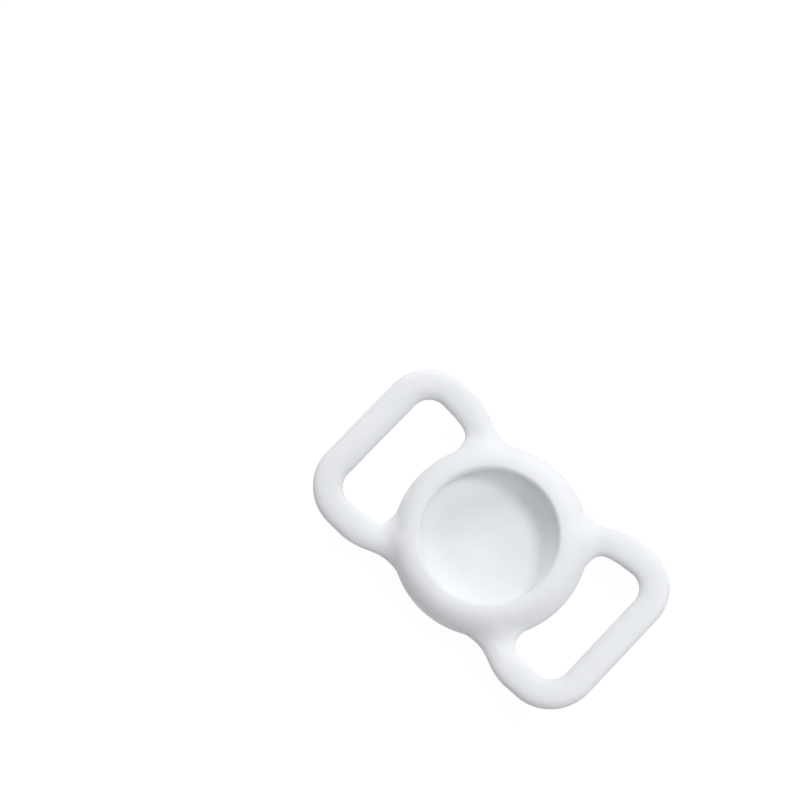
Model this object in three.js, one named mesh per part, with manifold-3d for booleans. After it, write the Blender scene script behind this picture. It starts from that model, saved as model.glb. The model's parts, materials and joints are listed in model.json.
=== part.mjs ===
// A silicone collar holder for a round tracker tag: a rounded cup with an elastic mouth lip, and two
// strap loops that rise from the cup's belly on four short necks. Millimetres, +X along the collar strap,
// +Z up out of the mouth, origin at the middle of the closed face that the cup rests on.
import * as THREE from "three";
import { mergeVertices } from "three/addons/utils/BufferGeometryUtils.js";
import Module from "manifold-3d";

// The tag and the pocket that squeezes it: the tag's domed front stands proud of the rim
const TAG_DIAMETER = 31.9;
const TAG_THICKNESS = 8.0;
const TAG_SQUEEZE = 0.3;
const TAG_PROUD = 1.7;
const FLOOR_THICKNESS = 2.1;
const POCKET_FILLET = 10.0;
const WALL_THICKNESS = 4.7;

// The mouth and the rounded outside of the cup
const LIP_OVERHANG = 1.25;
const LIP_THICKNESS = 1.1;
const LIP_ROUND_WIDTH = 0.5;
const LIP_ROUND_HEIGHT = 0.7;
const LIP_UNDERCUT = 0.8;
const BASE_ROUND = 3.8;
const FLOOR_PLATE_HEIGHT = 2.6;

// The collar strap and the loops that it passes through
const STRAP_WIDTH = 25.4;
const STRAP_CLEARANCE = 3.0;
const SLOT_OPENING = 10.5;
const SLOT_CORNER = 4.1;
const BAND_WIDTH = 6.2;
const BAND_THICKNESS = 3.4;
const BAND_EDGE_WIDTH = 1.9;
const BAND_EDGE_HEIGHT = 1.3;
const LOOP_RISE_DEGREES = 11;
const RISE_SETBACK = 6.35;
const ARM_STRAIGHT = 4.0;

// The necks, which blend the arms into the cup and bend when a loop flexes
const WAIST_FILLET = 9.3;
const SLOT_FILLET = 4.1;
const NECK_JOIN_DEPTH = 0.4;
const NECK_ROOT_COVER = 0.3;
const NECK_ROOT_SETBACK = 0.45;
const NECK_LENGTH = 4.6;

// Mesh fineness
const LATHE_SEGMENTS = 64;
const ARC_SEGMENTS = 6;
const PLAN_CURVE_SEGMENTS = 5;
const EDGE_SEGMENTS = 3;

// Heights and radii of the cup
const pocketRadius = TAG_DIAMETER / 2 - TAG_SQUEEZE;
const cupRadius = pocketRadius + WALL_THICKNESS;
const mouthRadius = pocketRadius - LIP_OVERHANG;
const crestRadius = mouthRadius + LIP_ROUND_WIDTH;
const bellyHeight = BASE_ROUND;
const rimHeight = FLOOR_THICKNESS + TAG_THICKNESS - TAG_PROUD;
const mouthHeight = rimHeight - LIP_ROUND_HEIGHT;
const lipBase = rimHeight - LIP_THICKNESS - LIP_UNDERCUT;
const seatRadius = pocketRadius - POCKET_FILLET;

// Plan of one loop, on the +X side: everything is measured from the cup's centre
const slotHalfWidth = (STRAP_WIDTH + STRAP_CLEARANCE) / 2;
const loopHalfWidth = slotHalfWidth + BAND_WIDTH;
const loopCorner = SLOT_CORNER + BAND_WIDTH;
const barInnerX = cupRadius + SLOT_OPENING;
const barOuterX = barInnerX + BAND_WIDTH;
const cornerX = barOuterX - loopCorner;
const cornerY = loopHalfWidth - loopCorner;
const shoulderX = cornerX - ARM_STRAIGHT;
const joinRadius = cupRadius - NECK_JOIN_DEPTH;
const riseStart = cupRadius - RISE_SETBACK;
const innerRadius = pocketRadius + NECK_ROOT_COVER;

// The slot's inner corner is a circle that touches the arm's inner edge and the cup
const slotFilletY = slotHalfWidth - SLOT_FILLET;
const slotFilletX = Math.sqrt((joinRadius + SLOT_FILLET) ** 2 - slotFilletY ** 2);
const slotFilletAngle = Math.atan2(slotFilletY, slotFilletX);

// The waist fillet is a circle that touches the cup and the loop's rounded shoulder from outside
const waistReach = joinRadius + WAIST_FILLET;
const shoulderReach = loopCorner + WAIST_FILLET;
const shoulderDistance = Math.hypot(shoulderX, cornerY);
const waistAngle =
  Math.atan2(cornerY, shoulderX) +
  Math.acos(
    (shoulderDistance ** 2 + waistReach ** 2 - shoulderReach ** 2) / (2 * shoulderDistance * waistReach),
  );
const waistX = waistReach * Math.cos(waistAngle);
const waistY = waistReach * Math.sin(waistAngle);
const shoulderAngle = Math.atan2(waistY - cornerY, waistX - shoulderX);

// Where the moulding is divided: the necks run from just outside the slot's inner corner
const neckStart = slotFilletX - SLOT_FILLET + NECK_ROOT_SETBACK;
const neckEnd = neckStart + NECK_LENGTH;
const riseSlope = Math.tan(THREE.MathUtils.degToRad(LOOP_RISE_DEGREES));

const wasm = await Module();
wasm.setup();

// A closed solid from a geometry: shared vertices merged, collapsed triangles at the lathe's poles dropped.
function toSolid(geometry) {
  const bare = geometry.clone();
  bare.deleteAttribute("normal");
  bare.deleteAttribute("uv");
  const merged = mergeVertices(bare, 1e-5);
  const corners = merged.index.array;
  const kept = [];
  for (let i = 0; i < corners.length; i += 3) {
    const [a, b, c] = corners.slice(i, i + 3);
    if (a !== b && b !== c && a !== c) kept.push(a, b, c);
  }
  return new wasm.Manifold(
    new wasm.Mesh({
      numProp: 3,
      vertProperties: new Float32Array(merged.attributes.position.array),
      triVerts: new Uint32Array(kept),
    }),
  );
}

function toGeometry(solid) {
  const mesh = solid.getMesh();
  const geometry = new THREE.BufferGeometry();
  geometry.setAttribute("position", new THREE.BufferAttribute(mesh.vertProperties, 3));
  geometry.setIndex(new THREE.BufferAttribute(mesh.triVerts, 1));
  geometry.computeVertexNormals();
  return geometry;
}

// A cutting block between two opposite corners.
function block(x0, x1, y0, y1, z0, z1) {
  const geometry = new THREE.BoxGeometry(x1 - x0, y1 - y0, z1 - z0);
  geometry.translate((x0 + x1) / 2, (y0 + y1) / 2, (z0 + z1) / 2);
  return toSolid(geometry);
}

// Points of an elliptical arc in a lathe profile, both ends included.
function profileArc(r, z, radiusR, radiusZ, fromDegrees, toDegrees) {
  const points = [];
  for (let i = 0; i <= ARC_SEGMENTS; i++) {
    const turn = fromDegrees + ((toDegrees - fromDegrees) * i) / ARC_SEGMENTS;
    const angle = THREE.MathUtils.degToRad(turn);
    points.push(new THREE.Vector2(r + radiusR * Math.cos(angle), z + radiusZ * Math.sin(angle)));
  }
  return points;
}

// The cup, turned about its axis: rounded base, domed collar, lip crest, undercut and bowl-shaped pocket.
function cupSolid() {
  const profile = [
    new THREE.Vector2(0, 0),
    ...profileArc(cupRadius - BASE_ROUND, BASE_ROUND, BASE_ROUND, BASE_ROUND, -90, 0),
    ...profileArc(crestRadius, bellyHeight, cupRadius - crestRadius, rimHeight - bellyHeight, 0, 90),
    ...profileArc(crestRadius, mouthHeight, LIP_ROUND_WIDTH, LIP_ROUND_HEIGHT, 90, 180),
    ...profileArc(mouthRadius, lipBase, LIP_OVERHANG, LIP_UNDERCUT, 90, 0),
    ...profileArc(seatRadius, lipBase, POCKET_FILLET, lipBase - FLOOR_THICKNESS, 0, -90),
    new THREE.Vector2(0, FLOOR_THICKNESS),
  ];
  return toSolid(new THREE.LatheGeometry(profile, LATHE_SEGMENTS).rotateX(Math.PI / 2));
}

// The loop's plan: a U whose two arms end inside the cup's wall. It runs round the outside from waist to
// waist, then back along the slot that the strap passes through.
function loopPlan() {
  const slotCornerX = barInnerX - SLOT_CORNER;
  const slotCornerY = slotHalfWidth - SLOT_CORNER;
  const plan = new THREE.Shape();
  plan.absarc(waistX, -waistY, WAIST_FILLET, Math.PI - waistAngle, Math.PI - shoulderAngle, true);
  plan.absarc(shoulderX, -cornerY, loopCorner, -shoulderAngle, -Math.PI / 2, false);
  plan.absarc(cornerX, -cornerY, loopCorner, -Math.PI / 2, 0, false);
  plan.absarc(cornerX, cornerY, loopCorner, 0, Math.PI / 2, false);
  plan.absarc(shoulderX, cornerY, loopCorner, Math.PI / 2, shoulderAngle, false);
  plan.absarc(waistX, waistY, WAIST_FILLET, shoulderAngle - Math.PI, waistAngle - Math.PI, true);
  plan.absarc(0, 0, innerRadius, waistAngle, slotFilletAngle, true);
  plan.absarc(slotFilletX, slotFilletY, SLOT_FILLET, Math.PI + slotFilletAngle, Math.PI / 2, true);
  plan.absarc(slotCornerX, slotCornerY, SLOT_CORNER, Math.PI / 2, 0, true);
  plan.absarc(slotCornerX, -slotCornerY, SLOT_CORNER, 0, -Math.PI / 2, true);
  plan.absarc(slotFilletX, -slotFilletY, SLOT_FILLET, -Math.PI / 2, -Math.PI - slotFilletAngle, true);
  plan.absarc(0, 0, innerRadius, -slotFilletAngle, -waistAngle, true);
  return plan;
}

// One loop with its arms: a band with rounded edges, sheared so that it rises from the cup's belly.
function loopSolid() {
  const core = BAND_THICKNESS - 2 * BAND_EDGE_HEIGHT;
  const band = new THREE.ExtrudeGeometry(loopPlan(), {
    depth: core,
    curveSegments: PLAN_CURVE_SEGMENTS,
    bevelSegments: EDGE_SEGMENTS,
    bevelThickness: BAND_EDGE_HEIGHT,
    bevelSize: BAND_EDGE_WIDTH,
    bevelOffset: -BAND_EDGE_WIDTH,
  });
  band.translate(-riseStart, 0, -core / 2);
  band.applyMatrix4(new THREE.Matrix4().makeShear(0, riseSlope, 0, 0, 0, 0));
  band.translate(riseStart, 0, bellyHeight);
  return toSolid(band);
}

const silicone = new THREE.MeshStandardMaterial({ color: 0xf1f2f3, roughness: 0.62, metalness: 0 });

function piece(name, solid) {
  const mesh = new THREE.Mesh(toGeometry(solid), silicone.clone());
  mesh.name = name;
  return mesh;
}

// The moulding in one, then cut where its jobs change
const reach = 2 * barOuterX;
const rightLoop = loopSolid();
const leftLoop = rightLoop.rotate([0, 0, 180]);
const upperArmBlock = block(neckStart, reach, slotFilletY, reach, -reach, reach);
const lowerArmBlock = block(neckStart, reach, -reach, -slotFilletY, -reach, reach);
const loopBlock = block(neckEnd, reach, -reach, reach, -reach, reach);

const cupFreeOfLoops = [upperArmBlock, lowerArmBlock, loopBlock].reduce(
  (rest, cutter) => rest.subtract(cutter).subtract(cutter.rotate([0, 0, 180])),
  cupSolid().add(rightLoop).add(leftLoop),
);
const upperNeck = rightLoop.intersect(upperArmBlock).subtract(loopBlock);
const lowerNeck = rightLoop.intersect(lowerArmBlock).subtract(loopBlock);
const strapLoop = rightLoop.intersect(loopBlock);

const holder = new THREE.Group();

const cup = new THREE.Group();
cup.add(
  piece(
    "pocket_floor",
    cupFreeOfLoops.intersect(block(-reach, reach, -reach, reach, -reach, FLOOR_PLATE_HEIGHT)),
  ),
  piece(
    "pocket_wall",
    cupFreeOfLoops.intersect(block(-reach, reach, -reach, reach, FLOOR_PLATE_HEIGHT, lipBase)),
  ),
  piece("mouth_lip", cupFreeOfLoops.intersect(block(-reach, reach, -reach, reach, lipBase, reach))),
);
holder.add(cup);

// Both sides are the same three pieces, the left ones turned half a turn about the cup's axis
for (const side of ["right", "left"]) {
  const turned = side === "left";
  const wing = new THREE.Group();
  wing.rotation.z = turned ? Math.PI : 0;
  wing.add(
    piece(`${side}_${turned ? "lower" : "upper"}_neck`, upperNeck),
    piece(`${side}_${turned ? "upper" : "lower"}_neck`, lowerNeck),
    piece(`${side}_strap_loop`, strapLoop),
  );
  holder.add(wing);
}

export default holder;
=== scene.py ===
"""Looks of a silicone collar holder for a round tracker tag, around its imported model. Metres, +Z up."""
import json
import math

import bmesh
import bpy
import numpy as np
from mathutils import Matrix, Vector


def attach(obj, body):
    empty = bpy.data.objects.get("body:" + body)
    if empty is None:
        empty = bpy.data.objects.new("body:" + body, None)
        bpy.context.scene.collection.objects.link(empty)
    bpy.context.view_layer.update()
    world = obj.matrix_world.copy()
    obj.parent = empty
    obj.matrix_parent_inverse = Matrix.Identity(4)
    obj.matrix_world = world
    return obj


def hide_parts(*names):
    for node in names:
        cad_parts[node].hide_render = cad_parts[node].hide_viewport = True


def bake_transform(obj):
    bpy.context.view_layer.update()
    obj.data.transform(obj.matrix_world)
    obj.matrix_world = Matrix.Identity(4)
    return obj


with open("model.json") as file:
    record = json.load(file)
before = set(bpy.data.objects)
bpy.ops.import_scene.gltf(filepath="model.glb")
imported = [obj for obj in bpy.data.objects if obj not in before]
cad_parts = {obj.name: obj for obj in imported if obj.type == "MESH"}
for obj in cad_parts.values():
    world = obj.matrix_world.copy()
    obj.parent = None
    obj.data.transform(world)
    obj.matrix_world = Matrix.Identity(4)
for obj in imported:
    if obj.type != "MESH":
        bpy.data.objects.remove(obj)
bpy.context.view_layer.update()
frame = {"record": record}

MM = 0.001

# Sizes of the moulding in millimetres, each an input of the node trees. The lip is rounder, and the foot of
# the pocket is squarer, than in the solids
MOULDING = {
    "Cup radius": 20.35,
    "Crest radius": 15.2,
    "Belly height": 3.8,
    "Rim height": 8.4,
    "Pocket radius": 15.65,
    "Pocket fillet": 8.0,
    "Floor height": 2.1,
    "Floor dish": 0.2,
    "Mouth radius": 14.2,
    "Mouth height": 7.2,
    "Lip base": 6.2,
    "Lip undercut": 0.8,
    "Lip softness": 0.5,
    "Undercut softness": 0.6,
    "Join radius": 19.5,
    "Loop start": 13.4,
    "Loop end": 37.05,
    "Loop half width": 20.38,
    "Loop corner": 10.3,
    "Slot end": 30.85,
    "Slot half width": 14.2,
    "Slot corner": 4.1,
    "Band width": 6.2,
    "Band thickness": 3.4,
    "Band fullness": 2.4,
    "Rise start": 14.0,
    "Rise slope": 0.19438,
    "Waist softness": 14.7,
    "Slot softness": 13.1,
    "Neck softness": 5.0,
    "Neck reach": 7.0,
}

# How finely the moulding's field is sampled, in millimetres, and how its mesh is drawn onto the skin
GRID_STEP = 0.32
GRID_MARGIN = 1.2
SLOPE_STEP = 0.04
LEAST_STEEPNESS = 0.05
PULLS_TO_SKIN = 3

# The necks bend about the hinges' lines, from just past the slots' corners, where each neck stands clear
HINGE_PLACE, _, HINGE_HEIGHT = frame["record"]["behaviour"]["joints"][0]["pos_m"]
NECK_START = 18.4 * MM
NECK_END = 2 * HINGE_PLACE - NECK_START
NECK_CLEAR_OF_CUP = 10.2 * MM
CUT_TOLERANCE = 0.02 * MM


class Measure:
    """A number inside a node tree: each sum or product of two adds a Math node."""

    def __init__(self, tree, socket):
        self.tree = tree
        self.socket = socket

    def math(self, operation, *others):
        node = self.tree.nodes.new("ShaderNodeMath")
        node.operation = operation
        for slot, value in zip(node.inputs, (self, *others)):
            if isinstance(value, Measure):
                self.tree.links.new(value.socket, slot)
            else:
                slot.default_value = value
        return Measure(self.tree, node.outputs[0])

    def __add__(self, other):
        return self.math("ADD", other)

    def __sub__(self, other):
        return self.math("SUBTRACT", other)

    def __mul__(self, other):
        return self.math("MULTIPLY", other)

    def __truediv__(self, other):
        return self.math("DIVIDE", other)

    def __pow__(self, other):
        return self.math("POWER", other)

    def __neg__(self):
        return self.math("MULTIPLY", -1.0)

    def __abs__(self):
        return self.math("ABSOLUTE")

    def at_least(self, other):
        return self.math("MAXIMUM", other)

    def at_most(self, other):
        return self.math("MINIMUM", other)

    def joined(self, other, softness):
        return self.math("SMOOTH_MIN", other, softness)

    def common(self, other, softness):
        return self.math("SMOOTH_MAX", other, softness)


def hypotenuse(*sides):
    total = sides[0] * sides[0]
    for side in sides[1:]:
        total = total + side * side
    return total.math("SQRT")


def rounded_box(x, y, start, end, half_width, corner):
    """Distance in plan from a box with rounded corners, symmetrical about the strap's line."""
    beyond_x = abs(x - (start + end) * 0.5) - ((end - start) * 0.5 - corner)
    beyond_y = abs(y) - (half_width - corner)
    outside = hypotenuse(beyond_x.at_least(0.0), beyond_y.at_least(0.0))
    return outside + beyond_x.at_least(beyond_y).at_most(0.0) - corner


def size_inputs(tree):
    for name, value in MOULDING.items():
        socket = tree.interface.new_socket(name=name, in_out="INPUT", socket_type="NodeSocketFloat")
        socket.default_value = value


def moulding_field():
    """Node group for a point's distance from the moulding's skin, in millimetres and negative inside."""
    tree = bpy.data.node_groups.new("moulding_field", "GeometryNodeTree")
    tree.interface.new_socket(name="Point", in_out="INPUT", socket_type="NodeSocketVector")
    size_inputs(tree)
    tree.interface.new_socket(name="Distance", in_out="OUTPUT", socket_type="NodeSocketFloat")
    entry = tree.nodes.new("NodeGroupInput")
    size = {name: Measure(tree, entry.outputs[name]) for name in MOULDING}
    split = tree.nodes.new("ShaderNodeSeparateXYZ")
    tree.links.new(entry.outputs["Point"], split.inputs[0])
    x, y, z = (Measure(tree, socket) for socket in split.outputs)
    radius = hypotenuse(x, y)

    # The cup's outside: a dome over a rounded base
    dome_width = size["Cup radius"] - size["Crest radius"]
    across = (radius - size["Crest radius"]).at_least(0.0) / dome_width
    above = (z - size["Belly height"]).at_least(0.0) / (size["Rim height"] - size["Belly height"])
    below = (z - size["Belly height"]).at_most(0.0) / size["Belly height"]
    cup = (hypotenuse(across, above, below) - 1.0) * dome_width

    # The hollow: a dished floor, a filleted wall, and a narrower mouth that ends at the cup's radius
    seat_radius = size["Pocket radius"] - size["Pocket fillet"]
    seat_share = (radius / seat_radius).at_most(1.0)
    dish = size["Floor dish"] * seat_share * seat_share * (-seat_share * 2.0 + 3.0)
    wall_rise = size["Lip base"] - size["Floor height"] - size["Floor dish"]
    outwards = (radius - seat_radius).at_least(0.0) / size["Pocket fillet"]
    downwards = (z - size["Floor height"] - dish - wall_rise).at_most(0.0) / wall_rise
    bowl = (hypotenuse(outwards, downwards) - 1.0) * wall_rise
    lip_reach = size["Pocket radius"] - size["Mouth radius"]
    overhang = (radius - size["Mouth radius"]).at_least(0.0) / lip_reach
    undercut = (z - size["Lip base"]).at_least(0.0) / size["Lip undercut"]
    ceiling = (hypotenuse(overhang, undercut) - 1.0) * size["Lip undercut"]
    lip_width = size["Crest radius"] - size["Mouth radius"]
    inwards = (size["Crest radius"] - radius).at_least(0.0) / lip_width
    upwards = (z - size["Mouth height"]).at_least(0.0) / (size["Rim height"] - size["Mouth height"])
    lip = (hypotenuse(inwards, upwards) - 1.0) * lip_width
    mouth = (-lip).at_least(size["Lip base"] - z).at_least(radius - size["Cup radius"])
    hollow = bowl.at_least(ceiling).joined(mouth, size["Undercut softness"])

    # The loops: a rounded band round each slot, rising from the cup's belly
    along = abs(x)
    loop_plan = rounded_box(
        along, y, size["Loop start"], size["Loop end"], size["Loop half width"], size["Loop corner"]
    )
    slot_plan = rounded_box(
        x, y, -size["Slot end"], size["Slot end"], size["Slot half width"], size["Slot corner"]
    )
    ring = loop_plan.at_least(-slot_plan)
    disc = radius - size["Join radius"]
    outline = loop_plan.joined(disc, size["Waist softness"])
    opening = slot_plan.common(-disc, size["Slot softness"])
    half_width = size["Band width"] * 0.5
    half_thickness = size["Band thickness"] * 0.5
    from_middle = (outline.at_least(-opening) + half_width).at_least(0.0) / half_width
    rise = size["Rise slope"] * (along - size["Rise start"]).at_least(0.0)
    middle_height = size["Belly height"] + rise
    from_mid_plane = abs(z - middle_height) / half_thickness
    fullness = size["Band fullness"]
    section = (from_middle**fullness + from_mid_plane**fullness) ** (fullness ** -1.0)
    band = (section - 1.0) * half_thickness

    closeness = (-(ring / size["Neck reach"]) + 1.0).at_least(0.0).at_most(1.0)
    nearness = closeness * closeness * (-closeness * 2.0 + 3.0)
    body = cup.joined(band, size["Neck softness"] * nearness)
    whole = body.common(-hollow, size["Lip softness"])
    leave = tree.nodes.new("NodeGroupOutput")
    tree.links.new(whole.socket, leave.inputs["Distance"])
    return tree


def distance_at(tree, field, entry, point):
    """One use of the field in a tree: the distance at a point, with the tree's own sizes passed on."""
    node = tree.nodes.new("GeometryNodeGroup")
    node.node_tree = field
    tree.links.new(point, node.inputs["Point"])
    for name in MOULDING:
        tree.links.new(entry.outputs[name], node.inputs[name])
    return Measure(tree, node.outputs["Distance"])


def field_gradient(tree, field, entry, position):
    """The field's slope along x, y and z as a vector socket."""
    gradient = tree.nodes.new("ShaderNodeCombineXYZ")
    for axis in range(3):
        ends = []
        for sign in (1.0, -1.0):
            nudge = tree.nodes.new("ShaderNodeVectorMath")
            nudge.operation = "ADD"
            tree.links.new(position, nudge.inputs[0])
            offset = [0.0, 0.0, 0.0]
            offset[axis] = sign * SLOPE_STEP
            nudge.inputs[1].default_value = offset
            ends.append(distance_at(tree, field, entry, nudge.outputs[0]))
        slope = (ends[0] - ends[1]) * (0.5 / SLOPE_STEP)
        tree.links.new(slope.socket, gradient.inputs[axis])
    return gradient.outputs[0]


def vector_math(tree, operation, *values):
    node = tree.nodes.new("ShaderNodeVectorMath")
    node.operation = operation
    for slot, value in zip(node.inputs, values):
        tree.links.new(value, slot)
    return node


def drawn_onto_skin(tree, field, entry, geometry):
    """Set Position node that moves every vertex along the slope onto the field's zero surface."""
    position = tree.nodes.new("GeometryNodeInputPosition").outputs[0]
    gradient = field_gradient(tree, field, entry, position)
    steepness = Measure(tree, vector_math(tree, "DOT_PRODUCT", gradient, gradient).outputs["Value"])
    stride = -distance_at(tree, field, entry, position) / steepness.at_least(LEAST_STEEPNESS)
    move = tree.nodes.new("ShaderNodeVectorMath")
    move.operation = "SCALE"
    tree.links.new(gradient, move.inputs[0])
    tree.links.new(stride.socket, move.inputs["Scale"])
    placed = tree.nodes.new("GeometryNodeSetPosition")
    tree.links.new(geometry, placed.inputs["Geometry"])
    tree.links.new(move.outputs[0], placed.inputs["Offset"])
    return placed.outputs["Geometry"]


def moulding_tree(field):
    """Geometry Nodes tree of the whole moulding, from its named sizes to a mesh in metres."""
    tree = bpy.data.node_groups.new("moulding", "GeometryNodeTree")
    size_inputs(tree)
    tree.interface.new_socket(name="Finish", in_out="INPUT", socket_type="NodeSocketMaterial")
    tree.interface.new_socket(name="Geometry", in_out="OUTPUT", socket_type="NodeSocketGeometry")
    entry = tree.nodes.new("NodeGroupInput")

    reach_x = MOULDING["Loop end"] + GRID_MARGIN
    reach_y = MOULDING["Loop half width"] + GRID_MARGIN
    loop_rise = MOULDING["Rise slope"] * (MOULDING["Loop end"] - MOULDING["Rise start"])
    loop_top = MOULDING["Belly height"] + loop_rise + MOULDING["Band thickness"] * 0.5
    low = (-reach_x, -reach_y, -GRID_MARGIN)
    high = (reach_x, reach_y, loop_top + GRID_MARGIN)
    position = tree.nodes.new("GeometryNodeInputPosition").outputs[0]
    cube = tree.nodes.new("GeometryNodeVolumeCube")
    cube.inputs["Min"].default_value = low
    cube.inputs["Max"].default_value = high
    for axis, name in enumerate("XYZ"):
        cube.inputs[f"Resolution {name}"].default_value = round((high[axis] - low[axis]) / GRID_STEP)
    depth = -distance_at(tree, field, entry, position)
    tree.links.new(depth.socket, cube.inputs["Density"])
    cube.inputs["Background"].default_value = -GRID_MARGIN
    skin = tree.nodes.new("GeometryNodeVolumeToMesh")
    skin.inputs["Threshold"].default_value = 0.0
    tree.links.new(cube.outputs[0], skin.inputs[0])
    geometry = skin.outputs[0]
    for _ in range(PULLS_TO_SKIN):
        geometry = drawn_onto_skin(tree, field, entry, geometry)

    normal = tree.nodes.new("GeometryNodeStoreNamedAttribute")
    normal.data_type = "FLOAT_VECTOR"
    normal.domain = "POINT"
    normal.inputs["Name"].default_value = "skin_normal"
    slope = field_gradient(tree, field, entry, position)
    tree.links.new(vector_math(tree, "NORMALIZE", slope).outputs[0], normal.inputs["Value"])
    tree.links.new(geometry, normal.inputs["Geometry"])

    scale = tree.nodes.new("GeometryNodeTransform")
    scale.inputs["Scale"].default_value = (MM, MM, MM)
    smooth = tree.nodes.new("GeometryNodeSetShadeSmooth")
    realize = tree.nodes.new("GeometryNodeRealizeInstances")
    finish = tree.nodes.new("GeometryNodeSetMaterial")
    tree.links.new(entry.outputs["Finish"], finish.inputs["Material"])
    geometry = normal.outputs["Geometry"]
    for node in (scale, smooth, realize, finish):
        tree.links.new(geometry, node.inputs["Geometry"])
        geometry = node.outputs["Geometry"]
    leave = tree.nodes.new("NodeGroupOutput")
    tree.links.new(geometry, leave.inputs["Geometry"])
    return tree


def moulding_mesh(material):
    """The moulding as one plain mesh."""
    tree = moulding_tree(moulding_field())
    holder = bpy.data.objects.new("moulding_source", bpy.data.meshes.new("moulding_source"))
    bpy.context.scene.collection.objects.link(holder)
    modifier = holder.modifiers.new("moulding", "NODES")
    modifier.node_group = tree
    for item in tree.interface.items_tree:
        if item.in_out == "INPUT":
            modifier[item.identifier] = material if item.name == "Finish" else MOULDING[item.name]
    depsgraph = bpy.context.evaluated_depsgraph_get()
    mesh = bpy.data.meshes.new_from_object(holder.evaluated_get(depsgraph))
    bpy.data.objects.remove(holder)
    return mesh


def in_arms(face, side):
    """Whether a face lies in the two arms of one side, clear of the cup."""
    centre = face.calc_center_median()
    return side * centre.x > 0 and abs(centre.y) > NECK_CLEAR_OF_CUP


def cut_at_necks(mesh):
    """Cuts the skin across the four necks and gives back one bmesh of loose zones."""
    zones = bmesh.new()
    zones.from_mesh(mesh)
    for side in (1, -1):
        arms = [face for face in zones.faces if in_arms(face, side)]
        edges = {edge for face in arms for edge in face.edges}
        corners = {corner for face in arms for corner in face.verts}
        cut = bmesh.ops.bisect_plane(
            zones,
            geom=[*arms, *edges, *corners],
            plane_co=(side * NECK_START, 0, 0),
            plane_no=(side, 0, 0),
            dist=CUT_TOLERANCE,
        )
        seam = [item for item in cut["geom_cut"] if isinstance(item, bmesh.types.BMEdge)]
        bmesh.ops.split_edges(zones, edges=seam)
    return zones


def zone_of(face):
    """The zone that a face of the cut moulding belongs to: the cup or one of the loops."""
    along = face.calc_center_median().x
    side = 1 if along > 0 else -1
    beyond_cut = abs(along) > NECK_START and in_arms(face, side)
    if beyond_cut or abs(along) > NECK_END:
        return "right" if side > 0 else "left"
    return "cup"


def zone_piece(name, zones, wanted, material):
    """One zone of the moulding as a closed piece, shaded with the whole skin's normals."""
    part = zones.copy()
    strangers = [face for face in part.faces if zone_of(face) != wanted]
    bmesh.ops.delete(part, geom=strangers, context="FACES")
    open_edges = [edge for edge in part.edges if edge.is_boundary]
    caps = set(bmesh.ops.holes_fill(part, edges=open_edges, sides=0)["faces"])
    bmesh.ops.recalc_face_normals(part, faces=part.faces)
    part.faces.index_update()
    cap_numbers = {face.index for face in caps}
    mesh = bpy.data.meshes.new(name)
    part.to_mesh(mesh)
    part.free()
    skin = np.zeros(3 * len(mesh.vertices), np.float32)
    mesh.attributes["skin_normal"].data.foreach_get("vector", skin)
    skin = skin.reshape(-1, 3)
    corner_normals = []
    for polygon in mesh.polygons:
        is_cap = polygon.index in cap_numbers
        polygon.use_smooth = not is_cap
        for vertex in polygon.vertices:
            corner_normals.append(polygon.normal if is_cap else skin[vertex])
    mesh.attributes.remove(mesh.attributes["skin_normal"])
    mesh.normals_split_custom_set([tuple(normal) for normal in corner_normals])
    mesh.materials.clear()
    mesh.materials.append(material)
    piece = bpy.data.objects.new(name, mesh)
    bpy.context.scene.collection.objects.link(piece)
    return piece


# White silicone: a cool white with a slow mottle, a patchy bloom in its gloss, and a fine grain in relief
WHITE_LIGHT = (0.856, 0.872, 0.898, 1)
WHITE_DEEP = (0.818, 0.836, 0.866, 1)
MOTTLE_SPREAD = (0.35, 0.65)
MOTTLE_PER_METRE = 85.0
BLOOM_PER_METRE = 420.0
RIPPLE_PER_METRE = 900.0
GRAIN_PER_METRE = 5200.0
ROUGHNESS_RANGE = (0.53, 0.67)
RIPPLE_DEPTH = 0.02 * MM
GRAIN_DEPTH = 0.012 * MM
PARTING_DEPTH = 0.04 * MM
PARTING_HALF_WIDTH = 0.1 * MM
SPECULAR_LEVEL = 0.3
SHEEN = 0.08
SHEEN_ROUGHNESS = 0.5


def noise_value(tree, place, per_metre, detail):
    """Noise over Object coordinates as a number between 0 and 1."""
    node = tree.nodes.new("ShaderNodeTexNoise")
    node.inputs["Scale"].default_value = per_metre
    node.inputs["Detail"].default_value = detail
    tree.links.new(place, node.inputs["Vector"])
    return Measure(tree, node.outputs["Fac"])


def parting_line(tree, place):
    """1 on the line round the outside where the mould's halves meet, falling to 0 beside it."""
    split = tree.nodes.new("ShaderNodeSeparateXYZ")
    tree.links.new(place, split.inputs[0])
    x, y, z = (Measure(tree, socket) for socket in split.outputs)
    rise = (abs(x) - MOULDING["Rise start"] * MM).at_least(0.0) * MOULDING["Rise slope"]
    off_line = abs(z - rise - MOULDING["Belly height"] * MM)
    line = (-(off_line / PARTING_HALF_WIDTH) + 1.0).at_least(0.0)
    outside = hypotenuse(x, y).math("GREATER_THAN", MOULDING["Pocket radius"] * MM)
    return line * outside


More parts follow.
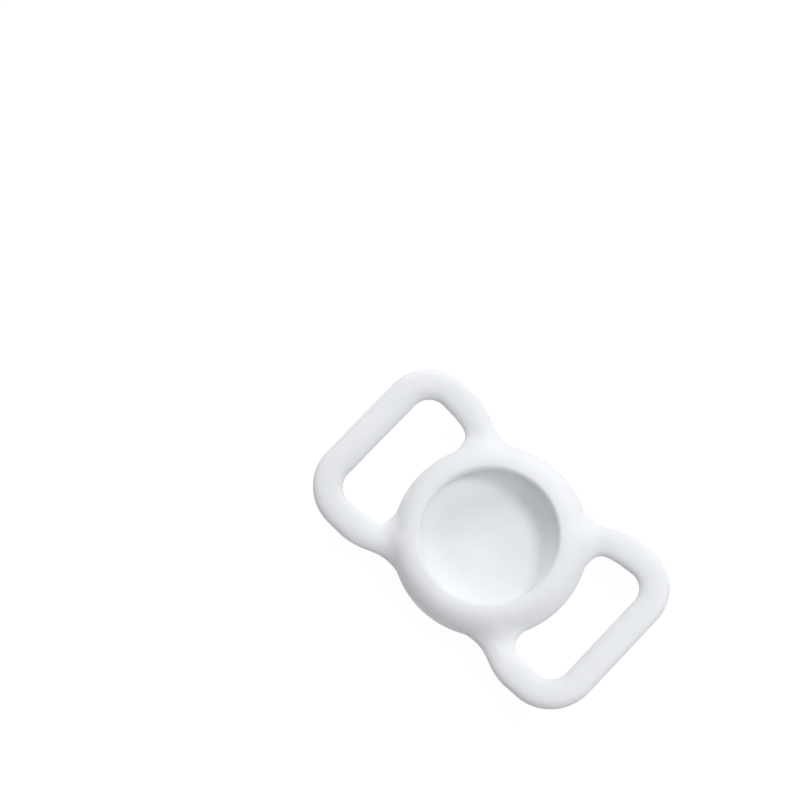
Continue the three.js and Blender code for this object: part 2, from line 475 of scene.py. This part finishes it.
def white_silicone():
    material = bpy.data.materials.new("white_silicone")
    material.use_nodes = True
    tree = material.node_tree
    shader = tree.nodes["Principled BSDF"]
    shader.inputs["Specular IOR Level"].default_value = SPECULAR_LEVEL
    shader.inputs["Sheen Weight"].default_value = SHEEN
    shader.inputs["Sheen Roughness"].default_value = SHEEN_ROUGHNESS
    place = tree.nodes.new("ShaderNodeTexCoord").outputs["Object"]

    tint = tree.nodes.new("ShaderNodeValToRGB")
    for stop, position, white in zip(tint.color_ramp.elements, MOTTLE_SPREAD, (WHITE_DEEP, WHITE_LIGHT)):
        stop.position = position
        stop.color = white
    mottle = noise_value(tree, place, MOTTLE_PER_METRE, detail=3.0)
    tree.links.new(mottle.socket, tint.inputs["Fac"])
    tree.links.new(tint.outputs["Color"], shader.inputs["Base Color"])

    smoothest, roughest = ROUGHNESS_RANGE
    bloom = noise_value(tree, place, BLOOM_PER_METRE, detail=4.0)
    roughness = bloom * (roughest - smoothest) + smoothest
    tree.links.new(roughness.socket, shader.inputs["Roughness"])

    ripple = noise_value(tree, place, RIPPLE_PER_METRE, detail=2.0) * RIPPLE_DEPTH
    grain = noise_value(tree, place, GRAIN_PER_METRE, detail=2.0) * GRAIN_DEPTH
    height = ripple + grain + parting_line(tree, place) * PARTING_DEPTH
    bump = tree.nodes.new("ShaderNodeBump")
    bump.inputs["Strength"].default_value = 1.0
    bump.inputs["Distance"].default_value = 1.0
    tree.links.new(height.socket, bump.inputs["Height"])
    tree.links.new(bump.outputs["Normal"], shader.inputs["Normal"])
    return material


# Studio floor: a white board to the light, and near white to the eye, with the part's soft shadow on it
FLOOR_SIZE = 3.0
FLOOR_WHITE = (0.75, 0.75, 0.75, 1)
FLOOR_ROUGHNESS = 0.9
FLOOR_GLOW = 1.09
FLOOR_GLOW_SHARE = 0.86


def background_ray(tree):
    """1 for what the eye sees directly, in a reflection or through glass, and 0 for light on the part."""
    path = tree.nodes.new("ShaderNodeLightPath")
    seen = Measure(tree, path.outputs["Is Camera Ray"])
    for ray in ("Is Glossy Ray", "Is Transmission Ray"):
        seen = seen.at_least(Measure(tree, path.outputs[ray]))
    return seen


def studio_floor():
    bpy.ops.mesh.primitive_plane_add(size=FLOOR_SIZE, location=(0, 0, 0))
    floor = bpy.context.active_object
    floor.name = "studio_floor"
    material = bpy.data.materials.new("floor_white")
    material.use_nodes = True
    tree = material.node_tree
    board = tree.nodes["Principled BSDF"]
    board.inputs["Base Color"].default_value = FLOOR_WHITE
    board.inputs["Roughness"].default_value = FLOOR_ROUGHNESS
    board.inputs["Specular IOR Level"].default_value = 0.0
    glow = tree.nodes.new("ShaderNodeEmission")
    glow.inputs["Strength"].default_value = FLOOR_GLOW
    share = background_ray(tree) * FLOOR_GLOW_SHARE
    blend = tree.nodes.new("ShaderNodeMixShader")
    tree.links.new(share.socket, blend.inputs[0])
    tree.links.new(board.outputs[0], blend.inputs[1])
    tree.links.new(glow.outputs[0], blend.inputs[2])
    tree.links.new(blend.outputs[0], tree.nodes["Material Output"].inputs["Surface"])
    floor.data.materials.append(material)


# Camera: 72 degrees above the floor, turned so that the right loop points at the picture's lower right
CAMERA_AZIMUTH = math.radians(57.646)
CAMERA_ELEVATION = math.radians(72.47)
CAMERA_ROLL = math.radians(-14.481)
CAMERA_DISTANCE = 531.984 * MM
CAMERA_AIM = Vector((-33.741, 8.607, 8.0)) * MM
CAMERA_LENS = 114.26
CAMERA_SENSOR = 36.0
CAMERA_NEAREST = 10 * MM


def photo_camera():
    camera = bpy.data.objects.new("camera", bpy.data.cameras.new("camera"))
    bpy.context.scene.collection.objects.link(camera)
    camera.data.lens = CAMERA_LENS
    camera.data.sensor_width = CAMERA_SENSOR
    camera.data.clip_start = CAMERA_NEAREST
    back = Vector(
        (
            math.sin(CAMERA_AZIMUTH) * math.cos(CAMERA_ELEVATION),
            -math.cos(CAMERA_AZIMUTH) * math.cos(CAMERA_ELEVATION),
            math.sin(CAMERA_ELEVATION),
        )
    )
    right = Vector((math.cos(CAMERA_AZIMUTH), math.sin(CAMERA_AZIMUTH), 0))
    up = back.cross(right)
    rolled_right = math.cos(CAMERA_ROLL) * right + math.sin(CAMERA_ROLL) * up
    rolled_up = back.cross(rolled_right)
    turn = Matrix((rolled_right, rolled_up, back)).transposed().to_4x4()
    camera.matrix_world = Matrix.Translation(CAMERA_AIM + back * CAMERA_DISTANCE) @ turn
    bpy.context.scene.camera = camera


# Soft lights: degrees round from +X, degrees above the floor, size in metres, watts
SOFTBOXES = {
    "key_softbox": (62, 48, 0.22, 1.95),
    "side_softbox": (15, 36, 0.5, 1.3),
    "overhead_softbox": (0, 89, 0.5, 0.83),
    "back_softbox": (139, 30, 0.5, 2.77),
    "fill_softbox": (240, 30, 0.6, 0.62),
}
SOFTBOX_DISTANCE = 0.8
SKY_STRENGTH = 0.228


def studio_light():
    world = bpy.data.worlds.new("studio")
    world.use_nodes = True
    bpy.context.scene.world = world
    sky = world.node_tree.nodes["Background"]
    sky.inputs["Color"].default_value = (1, 1, 1, 1)
    brightness = background_ray(world.node_tree) * (1.0 - SKY_STRENGTH) + SKY_STRENGTH
    world.node_tree.links.new(brightness.socket, sky.inputs["Strength"])
    for name, (azimuth, elevation, size, energy) in SOFTBOXES.items():
        light = bpy.data.objects.new(name, bpy.data.lights.new(name, "AREA"))
        bpy.context.scene.collection.objects.link(light)
        light.data.shape = "DISK"
        light.data.size = size
        light.data.energy = energy
        raised = Matrix.Rotation(math.radians(-elevation), 3, "Y") @ Vector((1, 0, 0))
        towards = Matrix.Rotation(math.radians(azimuth), 3, "Z") @ raised
        light.location = towards * SOFTBOX_DISTANCE
        light.rotation_euler = towards.to_track_quat("Z", "Y").to_euler()


bpy.context.scene.view_settings.view_transform = "Standard"
silicone = white_silicone()
zones = cut_at_necks(moulding_mesh(silicone))

cup_piece = zone_piece("cup_moulding", zones, "cup", silicone)
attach(cup_piece, "cup")
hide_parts("pocket_floor", "pocket_wall", "mouth_lip")

for side, sign in (("right", 1), ("left", -1)):
    loop_piece = zone_piece(f"{side}_loop_moulding", zones, side, silicone)
    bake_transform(loop_piece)
    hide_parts(f"{side}_strap_loop", f"{side}_upper_neck", f"{side}_lower_neck")
zones.free()

studio_floor()
photo_camera()
studio_light()
